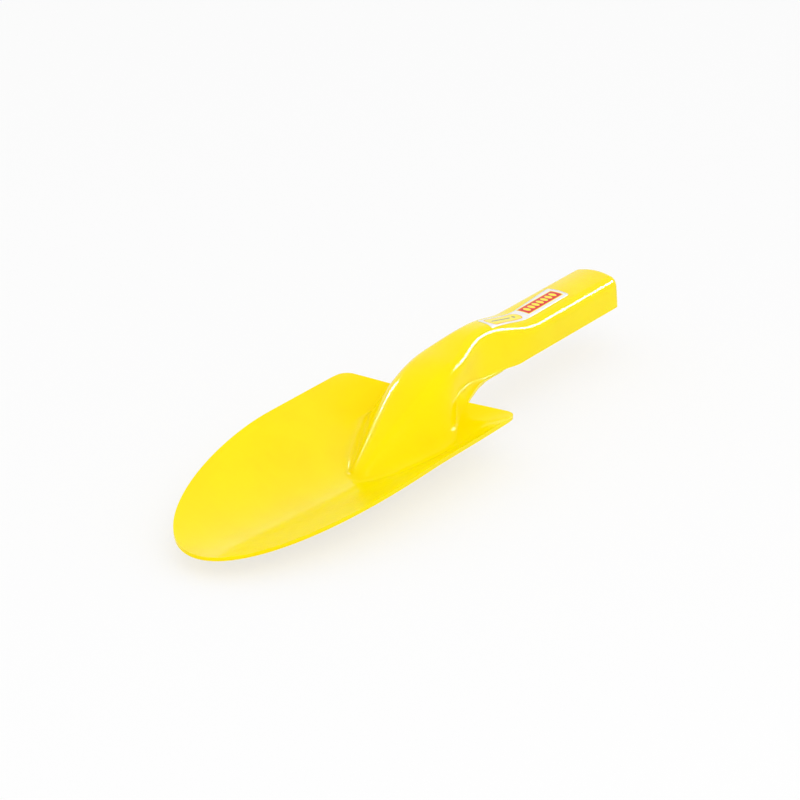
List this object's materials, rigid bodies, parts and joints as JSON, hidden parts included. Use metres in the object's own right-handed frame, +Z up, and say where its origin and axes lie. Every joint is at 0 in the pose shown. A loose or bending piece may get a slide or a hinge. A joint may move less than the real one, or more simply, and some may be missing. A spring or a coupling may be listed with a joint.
{
  "type": "hand trowel",
  "caption": "One-piece moulded plastic hand trowel for a child: a scoop blade with a raised rim, and an inverted channel handle with a printed film label.",
  "frame": {"origin": "middle of the bounding box in plan, at its lowest level", "axes": "+X along the trowel from the blade's tip to the end of the handle, +Z up out of the blade's open side, +Y to the left when looking along +X"},
  "size_m": [0.2616, 0.075, 0.0348],
  "materials": {
    "yellow_plastic": "glossy moulded polypropylene",
    "label_film": "printed white film with plain red and yellow panels"
  },
  "bodies": {
    "root": {"trowel_body": "yellow_plastic", "label": "label_film"}
  },
  "joints": []
}
